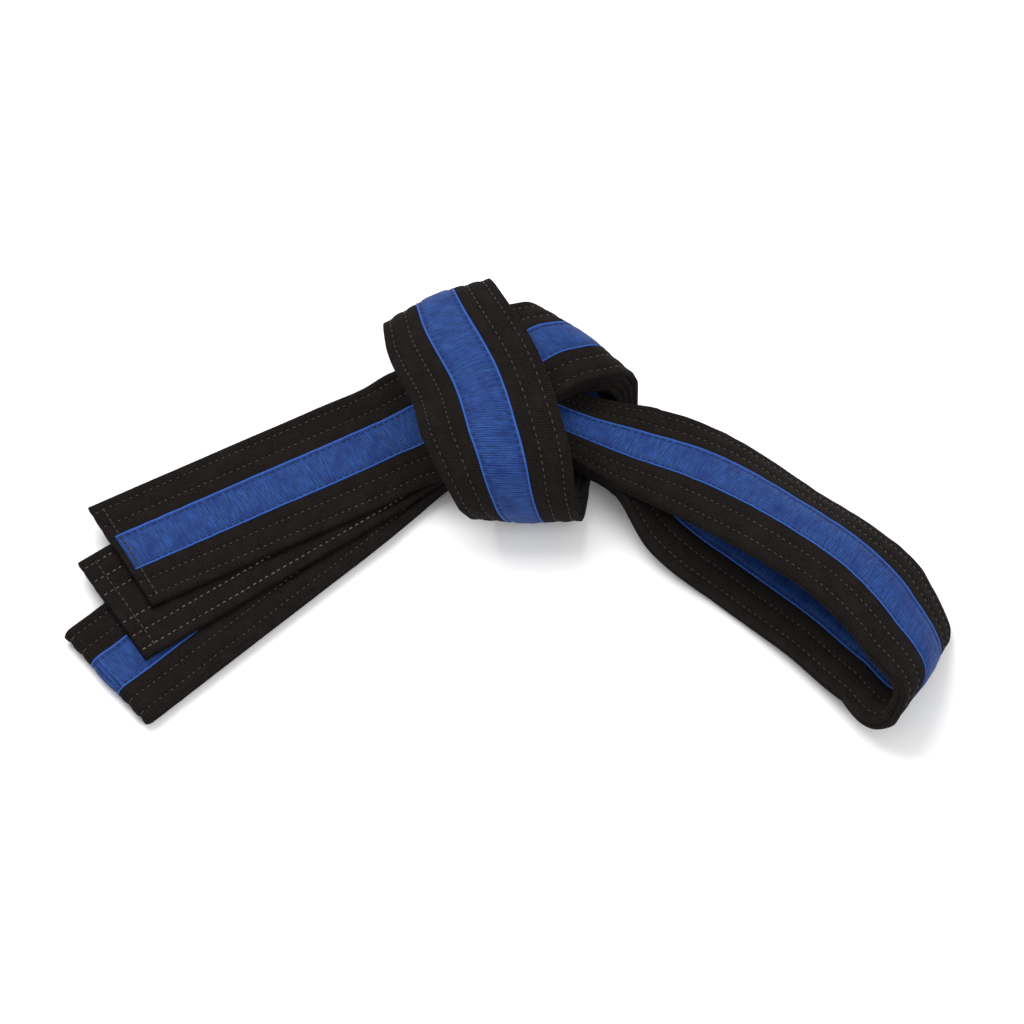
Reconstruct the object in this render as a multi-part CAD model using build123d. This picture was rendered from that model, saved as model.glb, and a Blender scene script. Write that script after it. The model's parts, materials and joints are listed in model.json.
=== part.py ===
from build123d import *
from math import cos, sin, pi, radians
import os
import numpy as np

# A striped martial arts belt folded into four layers and tied in one overhand knot.
# Millimetres, +Z up. The belt lies on the plane z = 0 with its front towards -Y, two free ends and a folded
# end on the left and an open loop on the right.

# Driving dimensions
belt_width = 38.0            # across the strap
ribbon_width = 12.7          # the coloured stripe on the strap's front
strap_thickness = 1.6        # cover, core and ribbon together
layer_gap = 0.6              # air and raised stitching between neighbouring layers
tail_top_length = 80.3       # from the fold line beside the knot to each free end
tail_under_length = 90.6
folded_end_length = 102.7
loop_length = 109.2          # from the knot's exit to the loop's tip

# Build of the strap
cover_wall = 0.3
channel_depth = 0.3          # the ribbon lies in a channel, flush with the cover's front
ribbon_clearance = 0.05
core_clearance = 0.1
thread_width = 0.6
thread_thickness = 0.12
thread_clearance = 0.1
hem_inset = 5.0              # the cross row that closes each cut end
hinge_gap = 1.5              # open line where a lifting piece meets the knot
samples_per_span = 4

# Worked out from those
half_width = belt_width / 2
half_thickness = strap_thickness / 2
layer_pitch = strap_thickness + layer_gap
bundle_pitch = 4 * layer_pitch
ribbon_share = ribbon_width / belt_width
side_share = (1 + ribbon_share) / 2
layer_offsets = (1.5 * layer_pitch, 0.5 * layer_pitch, -0.5 * layer_pitch, -1.5 * layer_pitch)
front_sides = (1, -1, 1, -1)                         # which side of the route each layer's stripe is on
rest_height = 1.5 * layer_pitch + half_thickness     # middle of a four-layer bundle that lies on the table
fold_line_yaw = 116.5
exit_yaw = 242


def height(level):
    """Height of a bundle's middle when it lies on this many bundles."""
    return rest_height + level * bundle_pitch


def direction(yaw, tilt=0.0):
    """Unit vector at a yaw from +X and a tilt from level."""
    yaw, tilt = radians(yaw), radians(tilt)
    return np.array([cos(tilt) * cos(yaw), cos(tilt) * sin(yaw), sin(tilt)])


def station(x, y, z, yaw, tilt=0.0, crown=0.0, gather=1.0):
    """One place on a route: x and y in belt widths, z in mm, and the line straight across the strap.

    crown is the angle in degrees that each edge rolls down by, and gather is the share of the width that is
    left where the strap is bunched.
    """
    centre = [x * belt_width, y * belt_width, z]
    return np.concatenate([centre, direction(yaw, tilt), [crown, gather]])


def fold(x, y, z, yaw, tilt, rise, reach, side, heading, down, crowns, gathers):
    """Five stations round half an ellipse whose axis runs along yaw and tilt through the given place.

    rise and reach are its half axes, side is +1 where it bulges to the left of the axis, and heading is the
    way the strap arrives, which slides it along the axis as it turns.
    """
    across = direction(yaw, tilt)
    outward = direction(yaw + 90 * side)
    upward = np.cross(across, outward)
    upward = upward * np.sign(upward[2])
    skew = radians(heading - yaw)
    slide = pi * rise * cos(skew) / abs(sin(skew))
    stations = []
    for share in np.linspace(0, 1, 5):
        turn = pi * (share if down else 1 - share)
        centre = np.array([x * belt_width, y * belt_width, z]) + across * slide * (share - 0.5)
        centre = centre + outward * reach * sin(turn) + upward * rise * cos(turn)
        crown = crowns[0] + (crowns[1] - crowns[0]) * share
        gather = gathers[0] + (gathers[1] - gathers[0]) * share
        stations.append(np.concatenate([centre, across, [crown, gather]]))
    return stations


# Routes: lists of stations that the strap's middle passes through

def fold_line():
    """Three stations across the straight stretch where the tails leave the knot, the fold line second."""
    return [
        station(-1.20, 0.337, height(0), fold_line_yaw),
        station(-1.08, 0.392, height(0), fold_line_yaw),
        station(-0.63, 0.58, height(1.45), 115, 3, 0, 0.92),
    ]


def knot_route():
    """From the fold line over, round and through the knot to its exit."""
    right_fold = fold(0.447, 1.0, height(1.1), 140, 0, 1.04 * bundle_pitch, 0.86 * bundle_pitch, -1, 25,
                      True, (12, 0), (0.86, 0.66))
    front_fold = fold(0.053, 0.163, height(1.62), 179, 0, 1.6 * bundle_pitch, 1.45 * bundle_pitch, 1, 251,
                      False, (0, 8), (0.66, 1.0))
    rear_fold = fold(-0.474, 1.276, height(1.9), 202, -12, 1.14 * bundle_pitch, 0.98 * bundle_pitch, -1, 109,
                     True, (12, 0), (0.92, 0.7))
    return [
        *fold_line(),
        station(-0.21, 0.737, height(2.12), 114, 0, 4, 0.8),
        *right_fold,
        station(0.35, 0.56, height(0.02), 160, 0, 0, 0.66),
        *front_fold,
        station(-0.25, 0.592, height(3.35), 192, -8, 12, 0.97),
        *rear_fold,
        station(-0.026, 0.816, height(0.97), 230, -3, 0, 0.62),
        *exit_line(0),
    ]


def exit_line(rise):
    """Three stations where the bundle leaves the knot, the exit second, raised by a distance."""
    return [
        station(0.474, 0.526, height(1.2) + rise, 240, 0, 0, 0.56),
        station(0.947, 0.33, height(1.05) + rise, exit_yaw, 2, -4, 0.74),
        station(1.2, 0.20, height(1.05) + rise, exit_yaw, 4, -8, 0.82),
    ]


def loop_station(along, aside, z, yaw, tilt=0.0, crown=0.0, gather=1.0):
    """A place in the loop, along it in loop lengths from the exit and aside from its line in belt widths."""
    line = direction(-40.5)
    left = direction(49.5)
    centre = belt_width * np.array([0.947, 0.33, 0]) + line * along * loop_length + left * aside * belt_width
    return station(centre[0] / belt_width, centre[1] / belt_width, z, yaw, tilt, crown, gather)


def loop_route():
    """The middle of the loop's two layers: out on top, round the tip and back along the table."""
    table_height = layer_pitch / 2 + half_thickness
    upper = exit_line(layer_pitch)[:2]
    lower = exit_line(-layer_pitch)[:2]
    return [
        *upper,
        loop_station(0.177, 0.15, height(1.52), exit_yaw, 14, -20, 0.92),
        loop_station(0.484, 0.259, height(1.75), 243, 25, -26),
        loop_station(0.67, 0.27, height(1.81), 245, 24, -24),
        loop_station(0.85, 0.188, height(1.58), 246, 18, -16),
        loop_station(1.0, 0.0, height(0.78), 247, 12, -8),
        loop_station(0.974, -0.065, height(0.14), 243, 5),
        loop_station(0.85, -0.01, table_height + 0.3, 238, 1),
        loop_station(0.653, 0.026, table_height, 236),
        loop_station(0.422, 0.018, table_height + 0.4, 235),
        loop_station(0.196, -0.035, height(0.22), 236, 0, 0, 0.95),
        *reversed(lower),
    ]


def tail_place(heading, distance, z, yaw):
    """A place on the table on a line from the fold line, in the direction the tail runs back towards."""
    centre = belt_width * np.array([-1.08, 0.392, 0]) + direction(heading) * distance
    return station(centre[0] / belt_width, centre[1] / belt_width, z, yaw)


def tail_route(heading, length, end_yaw):
    """From a free end to the fold line, the fold line last but one."""
    square = heading - 90
    turned = 0.6 * square + 0.4 * fold_line_yaw
    return [
        tail_place(heading, length, height(0), end_yaw),
        tail_place(heading, 0.66 * length, height(0), square),
        tail_place(heading, 0.33 * length, height(0), square),
        tail_place(heading, 0.12 * length, height(0), turned),
        *fold_line(),
    ]


def folded_end_route(heading, length, end_yaw):
    """From the fold line out along the third layer, round its end and back along the fourth."""
    out = reversed(tail_route(heading, length, end_yaw)[1:])
    back = tail_route(heading, length, end_yaw)[1:]
    far_end = tail_place(heading, length - 6, height(0), end_yaw)
    bend_radius = 0.65 * layer_pitch
    low = layer_offsets[3]
    stations = [moved(place, layer_offsets[2]) for place in out]
    stations.append(moved(far_end, low + 2 * bend_radius - 0.2))
    for turn in (0.25, 0.5, 0.75):
        reach = length - bend_radius + bend_radius * sin(pi * turn)
        around = tail_place(heading, reach, height(0), end_yaw)
        stations.append(moved(around, low + 0.1 + bend_radius + bend_radius * cos(pi * turn)))
    stations.append(moved(far_end, low))
    stations.extend(moved(place, low) for place in back)
    return stations


def moved(place, rise):
    """A station raised by a distance, with its line across turned end for end."""
    place = place.copy()
    place[2] += rise
    place[3:6] *= -1
    return place


# The strap's surface along a route

def curve_slopes(stations):
    """Distances between stations and the slopes of a smooth curve through them."""
    stations = np.array(stations)
    spans = np.linalg.norm(np.diff(stations[:, :3], axis=0), axis=1)
    chords = np.diff(stations, axis=0) / spans[:, None]
    before, after = spans[:-1, None], spans[1:, None]
    middle = (chords[:-1] * after + chords[1:] * before) / (before + after)
    first = 1.5 * chords[0] - 0.5 * middle[0]
    last = 1.5 * chords[-1] - 0.5 * middle[-1]
    return stations, spans, np.vstack([first, middle, last])


def cross_line(stations, place):
    """Centre, line across, normal, stretch, crown and gather at a place counted in stations."""
    stations, spans, slopes = curve_slopes(stations)
    index = min(int(place), len(spans) - 1)
    span, t = spans[index], place - index
    start, stop = stations[index], stations[index + 1]
    begin, end = slopes[index] * span, slopes[index + 1] * span
    value = (2 * t**3 - 3 * t**2 + 1) * start + (t**3 - 2 * t**2 + t) * begin
    value = value + (3 * t**2 - 2 * t**3) * stop + (t**3 - t**2) * end
    rate = (6 * t**2 - 6 * t) * (start - stop) + (3 * t**2 - 4 * t + 1) * begin + (3 * t**2 - 2 * t) * end
    across = value[3:6] / np.linalg.norm(value[3:6])
    along = rate[:3] / np.linalg.norm(rate[:3])
    normal = np.cross(along, across)
    squareness = np.linalg.norm(normal)
    return value[:3], across / squareness, normal / squareness, radians(value[6]), value[7]


def strap_point(line, share, depth):
    """The point at a share of the half width and a depth along the normal, on the strap's crowned arc."""
    centre, across, normal, crown, gather = line
    crown = crown if abs(crown) > 0.001 else 0.001
    angle = crown * share
    reach = half_width * gather * sin(angle) / crown + depth * sin(angle)
    drop = half_width * gather * (1 - cos(angle)) / crown
    return Vector(*(centre + across * reach + normal * (depth * cos(angle) - drop)))


def strip(stations, start, stop, outline, offset, holes=()):
    """A closed solid that carries an outline of (share, depth) corners from one place to another."""
    count = int(np.ceil((stop - start) * samples_per_span)) + 1
    places = np.linspace(start, stop, max(count, 4))
    lines = [cross_line(stations, place) for place in places]
    parameters = list(np.linspace(0, 1, len(places)))
    faces = []
    first_wires, last_wires = [], []
    for ring in (outline, *holes):
        corners = [[strap_point(line, share, offset + depth) for line in lines] for share, depth in ring]
        curves = [Edge.make_spline(points, parameters=parameters) for points in corners]
        for curve, following in zip(curves, curves[1:] + curves[:1]):
            faces.append(Face.make_surface_from_curves(curve, following))
        first_wires.append(Wire.make_polygon([points[0] for points in corners]))
        last_wires.append(Wire.make_polygon([points[-1] for points in corners]))
    faces.append(Face(first_wires[0], first_wires[1:]))
    faces.append(Face(last_wires[0], last_wires[1:]))
    solid = Solid(Shell(faces))
    return solid if solid.volume > 0 else Solid(solid.wrapped.Reversed())


def stretch(stations, index, distance):
    """The place a distance past a station, counted in stations."""
    spans = curve_slopes(stations)[1]
    span = spans[index] if distance > 0 else spans[index - 1]
    return index + distance / span


# Sub-parts of one segment: front is +1 or -1, the side of the route that its stripe is on

def cover(segment):
    """The woven sleeve, hollow, with a channel along its front for the ribbon."""
    stations, start, stop, offset, front = segment
    top = front * half_thickness
    floor = front * (half_thickness - channel_depth)
    roof = front * (half_thickness - channel_depth - cover_wall)
    under = -front * (half_thickness - cover_wall)
    outline = [(-1, top), (-side_share, top), (-ribbon_share, top), (-ribbon_share, floor),
               (ribbon_share, floor), (ribbon_share, top), (side_share, top), (1, top),
               (1, -top), (side_share, -top), (ribbon_share, -top),
               (-ribbon_share, -top), (-side_share, -top), (-1, -top)]
    wall_share = 1 - cover_wall / half_width
    shares = (-wall_share, -side_share, -ribbon_share, ribbon_share, side_share, wall_share)
    hollow = [(share, roof) for share in shares] + [(share, under) for share in reversed(shares)]
    return strip(stations, start, stop, outline, offset, [hollow])


def core(segment):
    """The stiff inner layers, free inside the cover."""
    stations, start, stop, offset, front = segment
    roof = front * (half_thickness - channel_depth - cover_wall - core_clearance)
    under = -front * (half_thickness - cover_wall - core_clearance)
    edge_share = 1 - 3 * cover_wall / half_width
    shares = (-edge_share, -side_share, -ribbon_share, ribbon_share, side_share, edge_share)
    outline = [(share, roof) for share in shares] + [(share, under) for share in reversed(shares)]
    return strip(stations, start, stop, outline, offset)


def ribbon(segment):
    """The coloured stripe in the cover's channel."""
    stations, start, stop, offset, front = segment
    face = front * half_thickness
    back = front * (half_thickness - channel_depth + ribbon_clearance)
    share = ribbon_share - 2 * ribbon_clearance / half_width
    return strip(stations, start, stop, [(-share, face), (share, face), (share, back), (-share, back)], offset)


def hem_thread(segment, end_distance):
    """The cross row of stitching near a cut end, on the upper face, between the outer rows."""
    stations, start, stop, offset, front = segment
    place = stretch(stations, 0, end_distance)
    width = stretch(stations, 0, thread_width)
    low = half_thickness + thread_clearance
    high = low + thread_thickness
    shares = np.array([-0.9, -side_share, -ribbon_share, ribbon_share, side_share, 0.9])
    outline = [(share, low) for share in shares] + [(share, high) for share in reversed(shares)]
    return strip(stations, place, place + width, outline, offset)


# The belt: each segment is its route, the places where it starts and stops, its layer's offset and its front

knot = knot_route()
fold_line_place = 1
exit_place = len(knot) - 2
knot_start = stretch(knot, fold_line_place, hinge_gap / 2)
knot_stop = stretch(knot, exit_place, -hinge_gap / 2)

tail_top = tail_route(205.3, tail_top_length, 120)
tail_under = tail_route(214.4, tail_under_length, 122)
folded_end = folded_end_route(223.4, folded_end_length, 130)
loop = loop_route()
tail_stop = stretch(tail_top, 5, -hinge_gap / 2)
folded_start = stretch(folded_end, 1, hinge_gap / 2)
folded_stop = stretch(folded_end, 15, -hinge_gap / 2)
loop_start = stretch(loop, 1, hinge_gap / 2)
loop_stop = stretch(loop, 12, -hinge_gap / 2)

segments = {
    "tail_top": (tail_top, 0, tail_stop, layer_offsets[0], 1),
    "tail_under": (tail_under, 0, tail_stop, layer_offsets[1], -1),
    "folded_end": (folded_end, folded_start, folded_stop, 0, 1),
    "loop_outer": (loop, loop_start, loop_stop, -layer_pitch / 2, -1),
    "loop_inner": (loop, loop_start, loop_stop, layer_pitch / 2, 1),
}
for number, (offset, front) in enumerate(zip(layer_offsets, front_sides), start=1):
    segments[f"knot_pass_{number}"] = (knot, knot_start, knot_stop, offset, front)

pieces = {}
for name, segment in segments.items():
    pieces[f"{name}_cover"] = cover(segment)
    pieces[f"{name}_core"] = core(segment)
    pieces[f"{name}_ribbon"] = ribbon(segment)
pieces["tail_top_hem_thread"] = hem_thread(segments["tail_top"], hem_inset)
pieces["tail_under_hem_thread"] = hem_thread(segments["tail_under"], hem_inset)

# The origin is under the middle of the belt, on the table.
box = Compound(list(pieces.values())).bounding_box()
to_origin = Location((-(box.min.X + box.max.X) / 2, -(box.min.Y + box.max.Y) / 2, -box.min.Z))

os.makedirs("parts", exist_ok=True)
for name, piece in pieces.items():
    export_step(piece.moved(to_origin), f"parts/{name}.step")
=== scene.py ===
import bpy
import json
import math
import numpy as np
from mathutils import Matrix, Vector


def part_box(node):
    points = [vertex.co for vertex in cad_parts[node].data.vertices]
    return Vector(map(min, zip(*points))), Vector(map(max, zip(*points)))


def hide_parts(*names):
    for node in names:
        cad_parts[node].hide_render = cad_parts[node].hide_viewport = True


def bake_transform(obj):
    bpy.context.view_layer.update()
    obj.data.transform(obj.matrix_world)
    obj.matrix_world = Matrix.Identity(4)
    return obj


# A striped martial arts belt, folded in four layers and tied in one knot, as continuous sewn straps.
# Sizes are in metres, and a value whose name ends in Mm is in millimetres.

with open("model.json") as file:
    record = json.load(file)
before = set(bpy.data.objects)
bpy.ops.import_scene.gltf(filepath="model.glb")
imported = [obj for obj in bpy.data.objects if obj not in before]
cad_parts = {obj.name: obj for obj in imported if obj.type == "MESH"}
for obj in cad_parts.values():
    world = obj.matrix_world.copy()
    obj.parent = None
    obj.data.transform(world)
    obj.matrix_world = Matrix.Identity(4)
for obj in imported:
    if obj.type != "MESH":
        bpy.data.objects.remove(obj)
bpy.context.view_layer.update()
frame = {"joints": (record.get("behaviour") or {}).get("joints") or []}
joints = {joint["child"]: joint for joint in frame["joints"]}
print("frame loaded, joints for", sorted(joints))

# The strap's own sizes
beltWidth = 0.038
ribbonWidth = 0.0127
coverThickness = 0.0019
layerPitch = 0.0022                  # from one of the four layers to the next
tableClearance = 0.0008              # from the lowest layer's middle to the table
alongStep = 0.0009                   # between two rows of a strap's mesh
exitYaw = 242                        # of the line across the strap where the loop leaves the knot

# The sewing: rows lengthwise, each at a share of half the width, with one stitch every stitchPitch
stitchPitch = 0.0021
frontRows = [-0.84, -0.56, 0.56, 0.84]
backRows = [-0.84, -0.56, -0.28, 0.28, 0.56, 0.84]
ribbonRows = [-0.28, 0.28]
frontSewn = frontRows + ribbonRows
backSeedStep = 7                     # the plain side puckers from its own seed

# Worked out from those
bundlePitch = 4 * layerPitch
restHeight = 1.5 * layerPitch + tableClearance
halfWidth = beltWidth / 2
halfThickness = coverThickness / 2
ribbonShare = ribbonWidth / beltWidth
layerOffsets = [1.5 * layerPitch, 0.5 * layerPitch, -0.5 * layerPitch, -1.5 * layerPitch]


# Stations: places on a route, each a centre, the line across the strap, a crown and a share of the width

def height(level):
    # rest height + level * the thickness of one bundle of four layers
    return restHeight + level * bundlePitch


def direction(yaw, tilt=0.0):
    # (cos tilt * cos yaw, cos tilt * sin yaw, sin tilt)
    yaw, tilt = math.radians(yaw), math.radians(tilt)
    return np.array([math.cos(tilt) * math.cos(yaw), math.cos(tilt) * math.sin(yaw), math.sin(tilt)])


def station(x, y, z, yaw, tilt=0.0, crown=0.0, gather=1.0):
    # centre = (x, y) in belt widths and z in metres, then the direction across, the angle in degrees that
    # each edge rolls down by, and the share of the width that is left where the strap is bunched
    return np.concatenate([[x * beltWidth, y * beltWidth, z], direction(yaw, tilt), [crown, gather]])


def fold(x, y, z, yaw, tilt, rise, reach, side, heading, down, crowns, gathers):
    # five stations round half an ellipse: centre = place + outward * reach * sin(turn)
    # + upward * rise * cos(turn) + across * slide * (share - half), where slide = pi * rise / tan(skew)
    across = direction(yaw, tilt)
    outward = direction(yaw + 90 * side)
    upward = np.cross(across, outward)
    upward = upward * np.sign(upward[2])
    skew = math.radians(heading - yaw)
    slide = math.pi * rise * math.cos(skew) / abs(math.sin(skew))
    stations = []
    for share in np.linspace(0, 1, 5):
        turn = math.pi * (share if down else 1 - share)
        centre = np.array([x * beltWidth, y * beltWidth, z]) + across * slide * (share - 0.5)
        centre = centre + outward * reach * math.sin(turn) + upward * rise * math.cos(turn)
        crown = crowns[0] + (crowns[1] - crowns[0]) * share
        gather = gathers[0] + (gathers[1] - gathers[0]) * share
        stations.append(np.concatenate([centre, across, [crown, gather]]))
    return stations


def exitLine(rise):
    # two stations where the bundle leaves the knot, both raised by a distance
    return [
        station(0.474, 0.526, height(1.03) + rise, 240, 0, 0, 0.56),
        station(0.947, 0.33, height(1.05) + rise, exitYaw, 2, -4, 0.74),
    ]


def loopStation(along, aside, z, yaw, tilt=0.0, crown=0.0, gather=1.0):
    # centre = exit + loop's line * along * its length + the way to its left * aside * belt width
    loopLength, lineYaw = 0.1092, -40.5
    place = np.array([0.947, 0.33, 0]) * beltWidth
    place = place + direction(lineYaw) * along * loopLength + direction(lineYaw + 90) * aside * beltWidth
    return station(place[0] / beltWidth, place[1] / beltWidth, z, yaw, tilt, crown, gather)


def loopRoute():
    # the middle of the loop's two layers, out on top, round the tip and back along the table
    tableHeight = layerPitch / 2 + tableClearance
    return [
        *exitLine(layerPitch),
        loopStation(0.177, 0.15, height(1.52), exitYaw, 14, -20, 0.92),
        loopStation(0.484, 0.259, height(1.75), 243, 25, -26),
        loopStation(0.67, 0.27, height(1.81), 245, 24, -24),
        loopStation(0.85, 0.188, height(1.58), 246, 22, -16),
        loopStation(1.0, 0.0, height(0.82), 247, 26, -8),
        loopStation(0.992, -0.095, height(0.4), 244, 18),
        loopStation(0.85, -0.05, tableHeight + 0.0024, 238, 7),
        loopStation(0.653, 0.005, tableHeight + 0.0012, 236, 4),
        loopStation(0.422, 0.018, tableHeight + 0.0004, 235),
        loopStation(0.196, -0.035, height(0.22), 236, 0, 0, 0.95),
        *reversed(exitLine(-layerPitch)),
    ]


# where the layers meet, climb over the strap that leaves the knot, and turn back round the right fold
underPass = station(0.35, 0.56, height(0.02), 160, 0, 0, 0.66)
rightFold = fold(0.447, 1.0, height(1.1), 140, 0, 1.04 * bundlePitch, 0.86 * bundlePitch, -1, 25,
                 True, (12, 0), (0.86, 0.66))
knotIn = [
    station(-0.816, 0.50, height(0.1), 119, 0, 0, 0.98),
    station(-0.645, 0.625, height(0.6), 118, 0, 0, 1.0),
    station(-0.42, 0.66, height(1.9), 116, 2, 4, 0.88),
    station(-0.21, 0.737, height(2.12), 114, 0, 4, 0.8),
    *rightFold,
    underPass,
]

# from underneath, up round the front fold, over the top, down behind and out
frontFold = fold(0.053, 0.163, height(1.62), 179, 0, 1.6 * bundlePitch, 1.45 * bundlePitch, 1, 251,
                 False, (0, 14), (0.66, 1.03))
rearFold = fold(-0.455, 1.235, height(1.88), 201, -10, 1.1 * bundlePitch, 0.98 * bundlePitch, -1, 109,
                True, (18, 0), (0.94, 0.7))
knotOut = [
    underPass,
    *frontFold,
    station(-0.25, 0.592, height(3.35), 192, -8, 20, 1.0),
    *rearFold,
    station(-0.026, 0.816, height(0.97), 230, -3, 0, 0.62),
    *exitLine(0),
]
loopPlaces = loopRoute()
exitPlace = len(knotOut) - 1


def tailStart(tail):
    # four stations on the straight line from the free end to the meeting place, which turn from the
    # free end's own line across to the square one and then a quarter of the way to the knot's
    freeEnd = np.array([-1.08, 0.392, 0]) * beltWidth + direction(tail["heading"]) * tail["length"]
    meeting = np.array([-0.816, tail["meetingY"], 0]) * beltWidth
    square = math.degrees(math.atan2(*(meeting - freeEnd)[1::-1])) + 90
    knotYaw = 119
    turned = 0.75 * square + 0.25 * knotYaw
    stations = []
    for share, yaw in ((0, tail["endYaw"]), (0.3, square), (0.55, square), (0.78, turned)):
        place = freeEnd + (meeting - freeEnd) * share
        stations.append(station(place[0] / beltWidth, place[1] / beltWidth, height(0), yaw))
    return stations


# Paths: closely spaced rows along a strap's middle, each row a centre, across, normal, crown and gather

def pathAlong(stations, startPlace, stopPlace, offset):
    # a cubic curve through the stations: (2t^3 - 3t^2 + 1) * first + (t^3 - 2t^2 + t) * begin
    # + (3t^2 - 2t^3) * last + (t^3 - t^2) * end, with normal = its slope x the line across
    stations = np.array(stations)
    spans = np.linalg.norm(np.diff(stations[:, :3], axis=0), axis=1)
    chords = np.diff(stations, axis=0) / spans[:, None]
    before, after = spans[:-1, None], spans[1:, None]
    middle = (chords[:-1] * after + chords[1:] * before) / (before + after)
    slopes = np.vstack([1.5 * chords[0] - 0.5 * middle[0], middle, 1.5 * chords[-1] - 0.5 * middle[-1]])
    distances = np.concatenate([[0], np.cumsum(spans)])
    start = np.interp(startPlace, np.arange(len(stations)), distances)
    stop = np.interp(stopPlace, np.arange(len(stations)), distances)
    reach = np.linspace(start, stop, max(4, int((stop - start) / alongStep)))
    index = np.clip(np.searchsorted(distances, reach, side="right") - 1, 0, len(spans) - 1)
    t = ((reach - distances[index]) / spans[index])[:, None]
    first, last = stations[index], stations[index + 1]
    begin, end = slopes[index] * spans[index, None], slopes[index + 1] * spans[index, None]
    value = (2 * t**3 - 3 * t**2 + 1) * first + (t**3 - 2 * t**2 + t) * begin
    value = value + (3 * t**2 - 2 * t**3) * last + (t**3 - t**2) * end
    rate = (6 * t**2 - 6 * t) * (first - last) + (3 * t**2 - 4 * t + 1) * begin + (3 * t**2 - 2 * t) * end
    across = value[:, 3:6] / np.linalg.norm(value[:, 3:6], axis=1)[:, None]
    along = rate[:, :3] / np.linalg.norm(rate[:, :3], axis=1)[:, None]
    normal = np.cross(along, across)
    squareness = np.linalg.norm(normal, axis=1)[:, None]
    return {
        "centre": value[:, :3],
        "across": across / squareness,
        "normal": normal / squareness,
        "crown": np.radians(value[:, 6]),
        "gather": value[:, 7],
        "offset": np.full(len(reach), offset),
    }


def backwards(path):
    # the same rows in the opposite order
    return {key: values[::-1] for key, values in path.items()}


def turnedOver(path):
    # the same surface with its normal, crown and offset negated
    flipped = dict(path)
    for key in ("normal", "crown", "offset"):
        flipped[key] = -path[key]
    return flipped


def joined(*paths):
    # the rows of each path after those of the one before
    return {key: np.concatenate([path[key] for path in paths]) for key in paths[0]}


def folded(path, endOffset):
    # half a round turn past the path's first row: centre + outward * radius * sin(turn)
    # + normal * radius * cos(turn), where twice the radius is the step from its offset to endOffset
    centre, across, normal = path["centre"][0], path["across"][0], path["normal"][0]
    outward = np.cross(normal, across)
    outward = outward * np.sign(outward @ (centre - path["centre"][10]))
    startOffset = path["offset"][0]
    radius = (startOffset - endOffset) / 2
    turn = np.linspace(0, math.pi, 14)[1:-1]
    outs, ups = np.sin(turn)[:, None], np.cos(turn)[:, None]
    middle = centre + normal * (startOffset + endOffset) / 2
    count = len(turn)
    return {
        "centre": middle + outward * radius * outs + normal * radius * ups,
        "across": np.repeat(across[None], count, 0),
        "normal": outward * outs + normal * ups,
        "crown": np.zeros(count),
        "gather": np.full(count, path["gather"][0]),
        "offset": np.zeros(count),
    }


def tailPath(tail, layer):
    # from the free end through the meeting place and the right fold to the pass underneath
    meeting = np.array(knotIn[0])
    meeting[1] = tail["meetingY"] * beltWidth
    stations = tailStart(tail) + [meeting] + knotIn[1:] + [knotOut[1]]
    return pathAlong(stations, 0, len(stations) - 2, layerOffsets[layer])


def foldedPath(tail):
    # in along the third layer, round the end and back along the fourth, with the end swollen by
    # swell height * s^2 * (3 - 2s), where s falls from 1 at the end to 0 at the swell's reach
    swellHeight, swellReach = 0.0006, 0.009
    upper = tailPath(tail, 2)
    lower = tailPath(tail, 3)
    distance = np.linalg.norm(upper["centre"] - upper["centre"][0], axis=1)
    swell = np.clip(1 - distance / swellReach, 0, 1)
    upper["offset"] = upper["offset"] + swellHeight * swell * swell * (3 - 2 * swell)
    return joined(backwards(upper), folded(upper, layerOffsets[3]), turnedOver(lower))


def loopPath(upperLayer, lowerLayer, side):
    # the upper leg's knot pass, the loop half a layer pitch to one side, and the lower leg's knot pass
    leadUp, leadDown = np.array(loopPlaces[2]), np.array(loopPlaces[-3])
    leadUp[2] -= layerPitch
    leadDown[2] += layerPitch
    passUp = pathAlong([knotIn[-2]] + knotOut + [leadUp], 1, exitPlace + 1, layerOffsets[upperLayer])
    passDown = pathAlong([knotIn[-2]] + knotOut + [leadDown], 1, exitPlace + 1, layerOffsets[lowerLayer])
    middle = pathAlong(loopPlaces, 1, len(loopPlaces) - 2, side * layerPitch / 2)
    inside = {key: values[1:-1] for key, values in middle.items()}
    return joined(passUp, inside, turnedOver(backwards(passDown)))


def interpolate(values, index):
    # lower row * (1 - share) + next row * share, at each index counted in rows
    low = np.clip(index.astype(int), 0, len(values) - 2)
    share = index - low
    if values.ndim == 2:
        share = share[:, None]
    return values[low] * (1 - share) + values[low + 1] * share


# Surfaces on a path

def surfacePoints(path, shares, depths):
    # centre + across * sin(crown * share) * (width / crown + depth)
    # + normal * (depth * cos(crown * share) - width * (1 - cos(crown * share)) / crown)
    crown = np.where(np.abs(path["crown"]) < 0.001, 0.001, path["crown"])[:, None]
    angle = crown * shares
    width = halfWidth * path["gather"][:, None]
    depth = path["offset"][:, None] + depths
    reach = width * np.sin(angle) / crown + depth * np.sin(angle)
    lift = depth * np.cos(angle) - width * (1 - np.cos(angle)) / crown
    points = path["centre"][:, None] + path["across"][:, None] * reach[..., None]
    return points + path["normal"][:, None] * lift[..., None]


def pathLength(path):
    # the steps between rows of the layer's own middle line, added up from the first row
    points = surfacePoints(path, np.zeros((len(path["crown"]), 1)), 0)[:, 0]
    steps = np.linalg.norm(np.diff(points, axis=0), axis=1)
    return np.concatenate([[0], np.cumsum(steps)])


def wander(along, across, seed, scaleMm):
    # the mean of six sine waves, each with its own seeded angle, pitch and phase
    waves = np.random.default_rng(seed)
    total = 0
    for _ in range(6):
        angle, pitch = waves.uniform(-0.6, 0.6), scaleMm / 1000 * waves.uniform(0.6, 1.8)
        phase = waves.uniform(0, 2 * math.pi)
        ahead = along * math.cos(angle) + across * math.sin(angle)
        total = total + np.sin(2 * math.pi * ahead / pitch + phase)
    return total / 6


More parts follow.
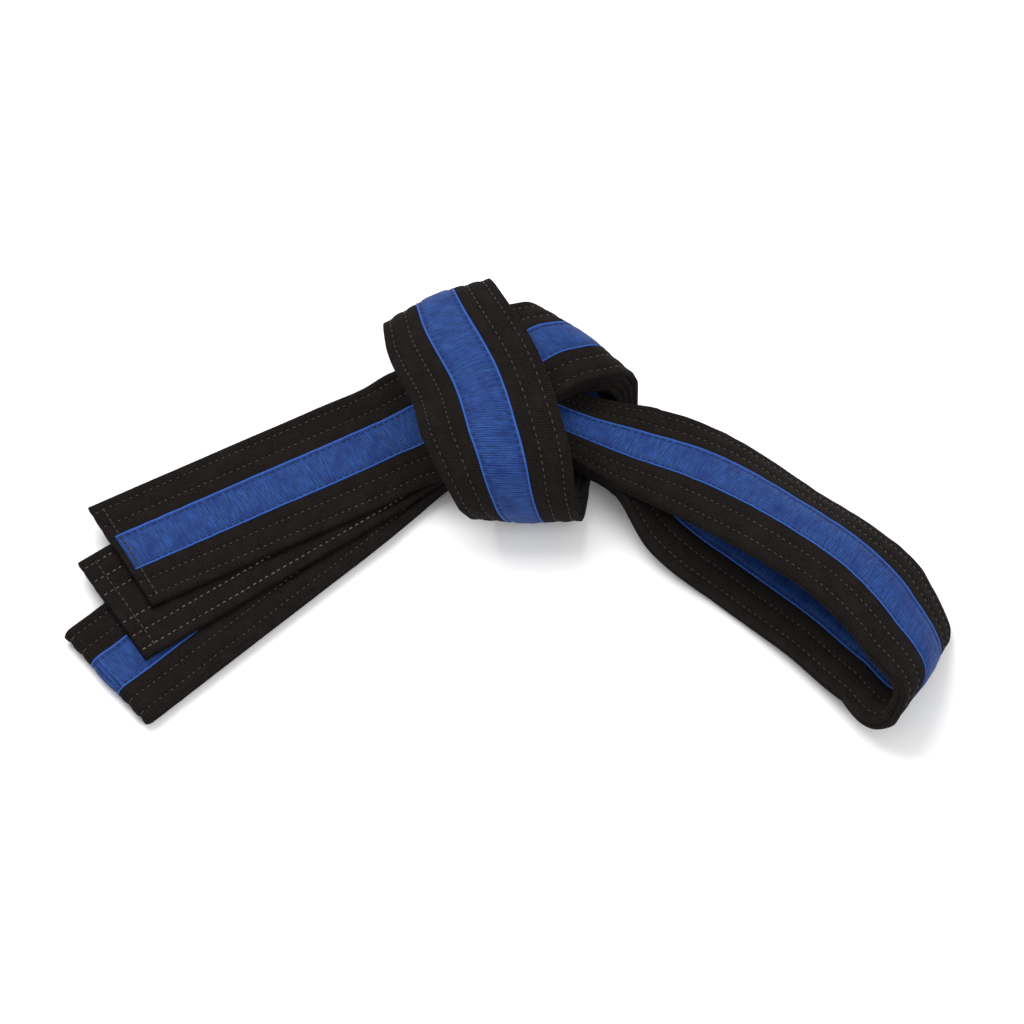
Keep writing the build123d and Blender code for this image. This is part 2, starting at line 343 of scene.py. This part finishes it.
def sag(along, across, seed):
    # a slow unevenness of the whole strap, 0.16 mm * six waves about 34 mm long
    return 0.00016 * wander(along, across, seed + 3, 34)


def relief(along, shares, rows, seed):
    # height = 0.25 mm - 0.3 mm * exp(-(gap / 0.5 mm)^2) - 0.3 mm * exp(-(gap / 1.4 mm)^2) at each sewn row,
    # where gap is the way to the row, and cloth that puffs and puckers between the rows
    across = shares * halfWidth
    loose = 0.00014 * wander(along, across, seed, 7) + 0.00012 * wander(along, across, seed + 1, 26)
    loose = loose + 0.00025
    for row in rows:
        gap = across - row * halfWidth
        loose = loose - 0.0003 * np.exp(-(gap / 0.0005) ** 2) - 0.0003 * np.exp(-(gap / 0.0014) ** 2)
    return loose


def coverSurface(path, front, seed):
    # rings of a rounded section: the front face, one edge, the back face and the other edge, where
    # depth = half thickness + relief on a face, and half thickness * cos(turn) round an edge
    faceEdge = 0.97
    besideRow = np.array([-0.9, -0.4, 0, 0.4, 0.9]) * 0.001 / halfWidth
    besideRows = (np.array(backRows)[:, None] + besideRow).ravel()
    faceShares = np.sort(np.concatenate([np.linspace(-faceEdge, faceEdge, 28), besideRows]))
    edgeTurn = np.linspace(0, math.pi, 7)[1:-1]
    edgeShares = faceEdge + (1 - faceEdge) * np.sin(edgeTurn)
    edgeDepths = np.cos(edgeTurn) * halfThickness
    faceDepths = np.full(len(faceShares), halfThickness)
    shares = np.concatenate([faceShares, edgeShares, faceShares[::-1], -edgeShares])
    depths = np.concatenate([faceDepths, edgeDepths, -faceDepths, -edgeDepths])
    along = pathLength(path)[:, None]
    side = np.sign(depths + 1e-9)
    onFace = np.abs(depths) > 0.9 * halfThickness
    frontRelief = relief(along, shares, frontSewn, seed)
    backRelief = relief(along, shares, backRows, seed + backSeedStep)
    bump = np.where(side == front, frontRelief, backRelief) * onFace
    drift = sag(along, shares * halfWidth, seed)
    return surfacePoints(path, shares[None] + 0 * along, side * bump + depths + drift), along, shares


ribbonShape = {"columns": 26, "lift": 0.00026, "base": 0.0002, "selvedge": 0.00007, "tuck": 0.0001}


def ribbonSurface(path, front, seed, bareRows):
    # top = cover + lift + selvedge * exp(-(to the edge)^2)
    # - tuck * exp(-(to the stitches)^2) * (1 + cos) / 2 once a stitch, and base = cover - base depth,
    # without the rows that stay bare at a free end
    along = pathLength(path)[:, None]
    faceShares = np.linspace(-ribbonShare, ribbonShare, ribbonShape["columns"])
    outwards = np.abs(faceShares / ribbonShare)
    selvedge = ribbonShape["selvedge"] * np.exp(-((outwards - 0.94) / 0.05) ** 2)
    tucked = np.exp(-((outwards - ribbonRows[1] / ribbonShare) / 0.06) ** 2)
    beat = 0.5 + 0.5 * np.cos(2 * math.pi * along / stitchPitch)
    cloth = halfThickness + relief(along, faceShares, frontSewn, seed)
    top = cloth + ribbonShape["lift"] + selvedge - tucked * ribbonShape["tuck"] * beat
    base = cloth[:, ::-1] - ribbonShape["base"]
    shares = np.concatenate([faceShares, faceShares[::-1]])
    depths = np.concatenate([top, base], 1) * front + sag(along, shares * halfWidth, seed)
    points = surfacePoints(path, shares[None] + 0 * along, depths)
    return points[bareRows:], along[bareRows:], shares


def ringMesh(name, points, along, shares):
    # quads between each ring and the next, caps of quads across the two end rings, and a UV map whose
    # u is the way along and v the way across, in millimetres
    rows, columns = points.shape[:2]
    grid = np.arange(rows * columns).reshape(rows, columns)
    quads = np.stack([grid[:-1], np.roll(grid, -1, 1)[:-1], np.roll(grid, -1, 1)[1:], grid[1:]], -1)
    first = np.arange(columns // 2 - 1)
    caps = np.stack([grid[:, first], grid[:, first + 1], grid[:, -first - 2], grid[:, -first - 1]], -1)
    faces = np.concatenate([quads.reshape(-1, 4), caps[0][:, ::-1], caps[-1]])
    mesh = bpy.data.meshes.new(name)
    mesh.from_pydata(points.reshape(-1, 3).tolist(), [], faces.tolist())
    mesh.validate()
    places = np.stack([np.broadcast_to(along * 1000, (rows, columns)),
                       np.broadcast_to(shares * halfWidth * 1000, (rows, columns))], -1).reshape(-1, 2)
    corners = np.empty(len(mesh.loops), np.int32)
    mesh.loops.foreach_get("vertex_index", corners)
    uvMap = mesh.uv_layers.new(name="strapMm")
    uvMap.data.foreach_set("uv", places[corners].astype(np.float32).ravel())
    return finishMesh(name, mesh)


def finishMesh(name, mesh):
    # smooth shading, and every face turned over if the mesh's signed volume, the sum of each
    # triangle's a . (b x c), is negative
    mesh.polygons.foreach_set("use_smooth", np.ones(len(mesh.polygons), bool))
    piece = bpy.data.objects.new(name, mesh)
    bpy.context.scene.collection.objects.link(piece)
    bpy.context.view_layer.update()
    mesh.calc_loop_triangles()
    points = np.empty(len(mesh.vertices) * 3)
    mesh.vertices.foreach_get("co", points)
    triangles = np.empty(len(mesh.loop_triangles) * 3, np.int32)
    mesh.loop_triangles.foreach_get("vertices", triangles)
    corner = points.reshape(-1, 3)[triangles.reshape(-1, 3)]
    volume = np.einsum("ij,ij->i", corner[:, 0], np.cross(corner[:, 1], corner[:, 2])).sum()
    if volume < 0:
        mesh.flip_normals()
    mesh.update()
    return piece


# One stitch: five rings of six corners, whose ends dive into the cloth
stitchHeights = np.array([-0.9, 0.35, 0.6, 0.35, -0.9])
stitchWidths = np.array([0.5, 0.9, 1.0, 0.9, 0.5])
stitchTurn = np.linspace(0, 2 * math.pi, 7)[:-1]


def stitchMesh(name, points):
    # quads between the rings and a hexagon over each end, repeated every thirty points
    ring = np.arange(30).reshape(5, 6)
    quads = np.stack([ring[:-1], np.roll(ring, -1, 1)[:-1], np.roll(ring, -1, 1)[1:], ring[1:]], -1)
    hexagons = np.stack([ring[0][::-1], ring[-1]])
    starts = np.arange(len(points))[:, None, None] * 30
    sides = (quads.reshape(1, -1, 4) + starts).reshape(-1, 4).tolist()
    ends = (hexagons[None] + starts).reshape(-1, 6).tolist()
    mesh = bpy.data.meshes.new(name)
    mesh.from_pydata(points.reshape(-1, 3).tolist(), [], sides + ends)
    return finishMesh(name, mesh)


def stitches(name, path, seed, sewing, bare):
    # one low arched thread for each stitch: depth = face + relief at the row + lift
    # + thread / 2 * height + 0.4 * thread * width * sin(turn), beyond the bare length at the path's start
    side, thread, reliefSeed = sewing["side"], sewing["thread"], sewing["reliefSeed"]
    along = pathLength(path)
    marks = np.arange(0.6, along[-1] / stitchPitch - 0.6) * stitchPitch
    marks = marks[marks > bare]
    lengths = np.array([-0.38, -0.25, 0, 0.25, 0.38]) * 0.8 * stitchPitch
    allPoints = []
    for row in sewing["rows"]:
        chance = np.random.default_rng(reliefSeed + int(100 + row * 100))
        jitter = chance.uniform(-0.2, 0.2, len(marks)) * 0.0006
        where = marks[:, None] + jitter[:, None] + lengths
        index = np.interp(where, along, np.arange(len(along)))
        rowPath = {key: interpolate(values, index.ravel()) for key, values in path.items()}
        share = row + thread / 2 / halfWidth * stitchWidths[None, :, None] * np.cos(stitchTurn)
        share = share + 0 * where[..., None]
        face = halfThickness + relief(where, row, sewing["sewn"], reliefSeed) + sewing["lift"]
        arch = side * (face + thread * 0.5 * stitchHeights[None]) + sag(where, row * halfWidth, seed)
        depth = arch[..., None] + thread * 0.4 * stitchWidths[None, :, None] * np.sin(stitchTurn)
        points = surfacePoints(rowPath, share.reshape(-1, 6), depth.reshape(-1, 6))
        allPoints.append(points.reshape(-1, 30, 3))
    return stitchMesh(name, np.concatenate(allPoints))


def hemStitches(name, path, seed, hem):
    # the same stitch turned across the strap, at a distance from the path's first row, on the upper face
    thread, reliefSeed = hem["thread"], hem["reliefSeed"]
    along = pathLength(path)
    count = int(0.92 * beltWidth / stitchPitch)
    marks = (np.arange(count) - (count - 1) / 2) * stitchPitch / halfWidth
    lengths = np.array([-0.5, -0.36, 0, 0.36, 0.5]) * 0.8 * stitchPitch / halfWidth
    share = (marks[:, None] + lengths)[..., None] + 0 * stitchTurn
    where = hem["distance"] + thread / 2 * stitchWidths[None, :, None] * np.cos(stitchTurn) + 0 * share
    index = np.interp(where.ravel(), along, np.arange(len(along)))
    rowPath = {key: interpolate(values, index) for key, values in path.items()}
    arch = 0.5 * stitchHeights[None, :, None] + 0.4 * stitchWidths[None, :, None] * np.sin(stitchTurn)
    lift = halfThickness + thread * arch + relief(where, share, hem["sewn"], reliefSeed)
    lift = lift + hem["ribbonLift"] * (np.abs(share) < ribbonShare) + sag(where, share * halfWidth, seed)
    points = surfacePoints(rowPath, share.reshape(-1, 1), lift.reshape(-1, 1))
    return stitchMesh(name, points.reshape(-1, 30, 3))


# Materials

def linear(hexColour):
    # each sRGB part: part / 12.92 below 0.04045, and ((part + 0.055) / 1.055) ^ 2.4 above
    parts = [int(hexColour[place:place + 2], 16) / 255 for place in (1, 3, 5)]
    return [*[part / 12.92 if part < 0.04045 else ((part + 0.055) / 1.055) ** 2.4 for part in parts], 1]


def node(tree, kind, inputs=None, output=0, **settings):
    # adds a shader node with its settings, sets or links its inputs by name or number, and gives an output
    made = tree.nodes.new(kind)
    for key, value in settings.items():
        setattr(made, key, value)
    for key, value in (inputs or {}).items():
        if isinstance(value, bpy.types.NodeSocket):
            tree.links.new(value, made.inputs[key])
        else:
            made.inputs[key].default_value = value
    return made.outputs[output]


def newMaterial(name, look):
    # a material whose shader has the look's numbers on its own sockets
    material = bpy.data.materials.new(name)
    material.use_nodes = True
    shader = material.node_tree.nodes["Principled BSDF"]
    shader.inputs["Roughness"].default_value = look["roughness"]
    shader.inputs["Sheen Weight"].default_value = look["sheen"]
    shader.inputs["Sheen Tint"].default_value = linear(look["light"])
    shader.inputs["Specular IOR Level"].default_value = look["specular"]
    return material, material.node_tree, shader


# Cotton drill, woven and piece dyed: dull near-black with a faint brown cast, a grain of crosswise ribs
# and rubbed patches. Its threads are really 0.3 mm apart, too fine to show, so they are drawn coarser.
cottonDrill = {
    "dark": "#020101", "light": "#221d1c", "worn": "#201b18", "fade": 0.5, "roughness": 0.9, "sheen": 0.04,
    "specular": 0.08, "ribMm": 0.7, "threadMm": 0.42, "weaveTone": 0.5, "fleckAlong": 1.7,
    "fleckAcross": 0.8, "fuzz": 0.7, "bump": 0.9, "bumpM": 0.00018, "edge": "#231f1e", "edgeMm": 40,
}

# Polyester satin ribbon, woven: a soft gloss over crosswise threads, mottled where it is rubbed, with a
# paler corded selvedge. Its threads are really 0.2 mm apart and are drawn coarser so that they show.
satinRibbon = {
    "dark": "#01061f", "light": "#2a549f", "worn": "#0b205c", "fade": 0.85, "roughness": 0.6, "sheen": 0.03,
    "specular": 0.14, "ribMm": 0.7, "threadMm": 0.4, "weaveTone": 0.5, "fleckAlong": 1.5,
    "fleckAcross": 0.22, "fuzz": 0.5, "bump": 0.7, "bumpM": 0.00014, "edge": "#2f58ab", "edgeMm": 5.9,
}


def wovenMaterial(name, look):
    # weave = ribs * (0.55 + 0.45 * threads); tone = weave and flecks in the shares of weaveTone; colour runs
    # from dark to light with the tone, fades in patches, and is mixed with the edge's past edgeMm across
    waveMm = 0.314                   # a wave texture of scale 1 repeats every 0.314
    material, tree, shader = newMaterial(name, look)
    uv = node(tree, "ShaderNodeUVMap", uv_map="strapMm")
    ribs = node(tree, "ShaderNodeTexWave",
                {"Vector": uv, "Scale": waveMm / look["ribMm"], "Distortion": 2.2, "Detail": 2.0,
                 "Detail Scale": 1.6}, "Fac", bands_direction="X")
    threads = node(tree, "ShaderNodeTexWave",
                   {"Vector": uv, "Scale": waveMm / look["threadMm"], "Distortion": 0.6, "Detail": 2.0,
                    "Detail Scale": 1.6}, "Fac", bands_direction="Y")
    patches = node(tree, "ShaderNodeTexNoise",
                   {"Vector": uv, "Scale": 0.16, "Detail": 3.0, "Roughness": 0.6}, "Fac")
    stretched = node(tree, "ShaderNodeVectorMath", {0: uv, 1: (look["fleckAlong"], look["fleckAcross"], 1)},
                     operation="MULTIPLY")
    flecks = node(tree, "ShaderNodeTexNoise",
                  {"Vector": stretched, "Scale": 1.0, "Detail": 4.0, "Roughness": 0.7}, "Fac")
    threadShare = node(tree, "ShaderNodeMath", {0: threads, 1: 0.45, 2: 0.55}, operation="MULTIPLY_ADD")
    weave = node(tree, "ShaderNodeMath", {0: ribs, 1: threadShare}, operation="MULTIPLY")
    fleckTone = node(tree, "ShaderNodeMapRange", {"Value": flecks, "From Min": 0.3, "From Max": 0.72,
                                                  "To Max": 1 - look["weaveTone"]})
    tone = node(tree, "ShaderNodeMath", {0: weave, 1: look["weaveTone"], 2: fleckTone},
                operation="MULTIPLY_ADD")
    colour = node(tree, "ShaderNodeMix", {0: tone, 6: linear(look["dark"]), 7: linear(look["light"])}, 2,
                  data_type="RGBA")
    fade = node(tree, "ShaderNodeMapRange", {"Value": patches, "From Min": 0.45, "From Max": 0.75,
                                             "To Max": look["fade"]})
    faded = node(tree, "ShaderNodeMix", {0: fade, 6: colour, 7: linear(look["worn"])}, 2, data_type="RGBA")
    across = node(tree, "ShaderNodeSeparateXYZ", {0: uv}, 1)
    away = node(tree, "ShaderNodeMath", {0: across}, operation="ABSOLUTE")
    pastEdge = node(tree, "ShaderNodeMath", {0: away, 1: look["edgeMm"]}, operation="GREATER_THAN")
    selvedge = node(tree, "ShaderNodeMath", {0: pastEdge, 1: 0.7}, operation="MULTIPLY")
    edged = node(tree, "ShaderNodeMix", {0: selvedge, 6: faded, 7: linear(look["edge"])}, 2,
                 data_type="RGBA")
    relieved = node(tree, "ShaderNodeMath", {0: flecks, 1: look["fuzz"], 2: weave}, operation="MULTIPLY_ADD")
    bump = node(tree, "ShaderNodeBump", {"Strength": look["bump"], "Distance": look["bumpM"],
                                         "Height": relieved})
    tree.links.new(edged, shader.inputs["Base Color"])
    tree.links.new(bump, shader.inputs["Normal"])
    return material


# Twisted polyester sewing thread: a small dull shine, with the twist's light and dark along it
blackSewing = {"light": "#2c2725", "dark": "#060505", "roughness": 0.55, "sheen": 0.2, "specular": 0.4}
greyBobbin = {"light": "#57504d", "dark": "#141211", "roughness": 0.55, "sheen": 0.2, "specular": 0.4}
navySewing = {"light": "#10205a", "dark": "#050a20", "roughness": 0.55, "sheen": 0.2, "specular": 0.4}


def threadMaterial(name, look):
    # colour runs from dark to light with 0.6 * twist + 0.4 * patches, and the twist is raised 0.1 mm
    material, tree, shader = newMaterial(name, look)
    place = node(tree, "ShaderNodeTexCoord", output="Object")
    twist = node(tree, "ShaderNodeTexNoise",
                 {"Vector": place, "Scale": 900, "Detail": 3.0, "Roughness": 0.6}, "Fac")
    patches = node(tree, "ShaderNodeTexNoise",
                   {"Vector": place, "Scale": 60, "Detail": 2.0, "Roughness": 0.5}, "Fac")
    patchTone = node(tree, "ShaderNodeMath", {0: patches, 1: 0.4}, operation="MULTIPLY")
    mixedTone = node(tree, "ShaderNodeMath", {0: twist, 1: 0.6, 2: patchTone}, operation="MULTIPLY_ADD")
    tone = node(tree, "ShaderNodeMapRange", {"Value": mixedTone, "From Min": 0.35, "From Max": 0.65})
    colour = node(tree, "ShaderNodeMix", {0: tone, 6: linear(look["dark"]), 7: linear(look["light"])}, 2,
                  data_type="RGBA")
    bump = node(tree, "ShaderNodeBump", {"Strength": 0.5, "Distance": 0.0001, "Height": twist})
    tree.links.new(colour, shader.inputs["Base Color"])
    tree.links.new(bump, shader.inputs["Normal"])
    return material


coverCloth = wovenMaterial("black cotton drill", cottonDrill)
ribbonCloth = wovenMaterial("blue satin ribbon", satinRibbon)
blackThread = threadMaterial("black polyester thread", blackSewing)
greyThread = threadMaterial("grey bobbin thread", greyBobbin)
navyThread = threadMaterial("navy thread", navySewing)
print("materials ready")


# The straps: for each one its end's place, the side its front is on, and the CAD nodes that it stands for

tailTop = {
    "heading": 205.3, "length": 0.0803, "endYaw": 120, "meetingY": 0.585, "front": 1, "seed": 11,
    "body": "tail_top", "nodes": ("tail_top", "knot_pass_1"), "bareRows": 2,
}
tailUnder = {
    "heading": 214.4, "length": 0.0906, "endYaw": 122, "meetingY": 0.555, "front": -1, "seed": 23,
    "body": "tail_under", "nodes": ("tail_under", "knot_pass_2"), "bareRows": 0,
}
foldedEnd = {
    "heading": 223.4, "length": 0.1027, "endYaw": 130, "meetingY": 0.525, "front": 1, "seed": 37,
    "body": "folded_end", "nodes": ("folded_end", "knot_pass_3", "knot_pass_4"), "bareRows": 0,
}
loopOuter = {"front": -1, "seed": 53, "body": "loop", "nodes": ("loop_outer",), "bareRows": 0}
loopInner = {"front": 1, "seed": 71, "body": "loop", "nodes": ("loop_inner",), "bareRows": 0}

# the step from these routes' coordinates to the frame's, by the lower cut end's lowest corner
tailUnderPath = tailPath(tailUnder, 1)
outline = surfacePoints(tailUnderPath, np.array([[-1.0, 1.0]]), -tableClearance)
toFrame = np.array(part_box("tail_under_cover")[0]) - outline.reshape(-1, 3).min(0)


def finishPiece(piece, material, body):
    # the mesh is moved to its place in the frame and given its material; the joint's line and the level way
    # out of the knot are worked out but not used
    piece.data.transform(Matrix.Translation(toFrame))
    piece.data.materials.append(material)
    hinge = np.array(joints[body]["pos_m"])
    outward = np.cross([0, 0, 1], joints[body]["axis"])
    outward = outward * np.sign(outward[0] * hinge[0])
    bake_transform(piece)


def makeStrap(name, strap, path):
    # a cover, its ribbon, and the stitches of its front, its plain side and its ribbon's edges
    front, seed, body = strap["front"], strap["seed"], strap["body"]
    frontSewing = {"side": front, "rows": frontRows, "sewn": frontSewn, "lift": 0.0001,
                   "reliefSeed": seed, "thread": 0.00048}
    backSewing = {"side": -front, "rows": backRows, "sewn": backRows, "lift": 0.00016,
                  "reliefSeed": seed + backSeedStep, "thread": 0.00052}
    ribbonSewing = {"side": front, "rows": ribbonRows, "sewn": frontSewn, "lift": 0.0003,
                    "reliefSeed": seed, "thread": 0.00048}
    cover = ringMesh(f"{name}Cover", *coverSurface(path, front, seed))
    finishPiece(cover, coverCloth, body)
    ribbon = ringMesh(f"{name}Ribbon", *ribbonSurface(path, front, seed, strap["bareRows"]))
    finishPiece(ribbon, ribbonCloth, body)
    frontStitches = stitches(f"{name}FrontStitches", path, seed, frontSewing, 0)
    finishPiece(frontStitches, blackThread, body)
    backStitches = stitches(f"{name}BackStitches", path, seed, backSewing, 0)
    finishPiece(backStitches, greyThread, body)
    bare = (strap["bareRows"] + 1) * alongStep
    ribbonStitches = stitches(f"{name}RibbonStitches", path, seed, ribbonSewing, bare)
    finishPiece(ribbonStitches, navyThread, body)
    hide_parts(*[f"{stretch}_{kind}" for stretch in strap["nodes"] for kind in ("cover", "core")])
    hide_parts(*[f"{stretch}_ribbon" for stretch in strap["nodes"]])


makeStrap("tailTop", tailTop, tailPath(tailTop, 0))
makeStrap("tailUnder", tailUnder, tailUnderPath)
makeStrap("foldedEnd", foldedEnd, foldedPath(foldedEnd))
makeStrap("loopOuter", loopOuter, loopPath(3, 0, -1))
makeStrap("loopInner", loopInner, loopPath(2, 1, 1))


# The cross rows that close the two cut ends

topHem = {"distance": 0.0032, "sewn": frontSewn, "reliefSeed": 11, "ribbonLift": 0.00026,
          "thread": 0.00055}
underHem = {"distance": 0.0045, "sewn": backRows, "reliefSeed": 30, "ribbonLift": 0,
            "thread": 0.00055}

tailTopHem = hemStitches("tailTopHem", tailPath(tailTop, 0), tailTop["seed"], topHem)
finishPiece(tailTopHem, blackThread, "tail_top")
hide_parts("tail_top_hem_thread")
tailUnderHem = hemStitches("tailUnderHem", tailUnderPath, tailUnder["seed"], underHem)
finishPiece(tailUnderHem, blackThread, "tail_under")
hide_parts("tail_under_hem_thread")
print("hems made")


# Floor, light and camera

floorLook = {"light": "#ffffff", "roughness": 0.9, "sheen": 0.0, "specular": 0.3}
studio = {
    "floor": "#f7f7f7", "floorReach": 4, "sky": 0.82,
    "keyPlace": (-0.35, 0.45, 1.0), "keySize": 0.9, "keyPower": 11,
    "fillPlace": (0.6, -0.6, 1.0), "fillSize": 0.9, "fillPower": 5,
}
cameraView = {"elevation": 60, "distance": 4.0, "width": 0.298}


def makeFloor():
    # one matt square at z = 0
    reach = studio["floorReach"]
    corners = [(-reach, -reach, 0), (reach, -reach, 0), (reach, reach, 0), (-reach, reach, 0)]
    mesh = bpy.data.meshes.new("floor")
    mesh.from_pydata(corners, [], [(0, 1, 2, 3)])
    floor = bpy.data.objects.new("floor", mesh)
    bpy.context.scene.collection.objects.link(floor)
    material, tree, shader = newMaterial("pale floor", floorLook)
    shader.inputs["Base Color"].default_value = linear(studio["floor"])
    floor.data.materials.append(material)


def towards(place, target):
    # the rotation that turns -Z to the way from place to target, with Y up
    return (Vector(target) - Vector(place)).to_track_quat("-Z", "Y").to_euler()


def softLight(name, place, size, power):
    # a round area light that looks at the origin
    light = bpy.data.lights.new(name, "AREA")
    light.shape = "DISK"
    light.size = size
    light.energy = power
    lamp = bpy.data.objects.new(name, light)
    lamp.location = place
    lamp.rotation_euler = towards(place, (0, 0, 0))
    bpy.context.scene.collection.objects.link(lamp)


def makeWorld():
    # an even white surround
    world = bpy.data.worlds.new("studio")
    world.use_nodes = True
    sky = world.node_tree.nodes["Background"]
    sky.inputs["Color"].default_value = linear("#ffffff")
    sky.inputs["Strength"].default_value = studio["sky"]
    bpy.context.scene.world = world


def makeCamera():
    # place = target + distance * (0, -cos elevation, sin elevation), and
    # lens = sensor width * distance / width of the view at the target
    elevation, distance = math.radians(cameraView["elevation"]), cameraView["distance"]
    place = toFrame + distance * np.array([0, -math.cos(elevation), math.sin(elevation)])
    camera = bpy.data.cameras.new("camera")
    camera.lens = camera.sensor_width * distance / cameraView["width"]
    camera.clip_end = 20
    view = bpy.data.objects.new("camera", camera)
    view.location = place
    view.rotation_euler = towards(place, toFrame)
    bpy.context.scene.collection.objects.link(view)
    bpy.context.scene.camera = view


makeFloor()
makeWorld()
softLight("key", studio["keyPlace"], studio["keySize"], studio["keyPower"])
softLight("fill", studio["fillPlace"], studio["fillSize"], studio["fillPower"])
makeCamera()
bpy.context.scene.view_settings.view_transform = "Standard"
print("floor, lights and camera placed")
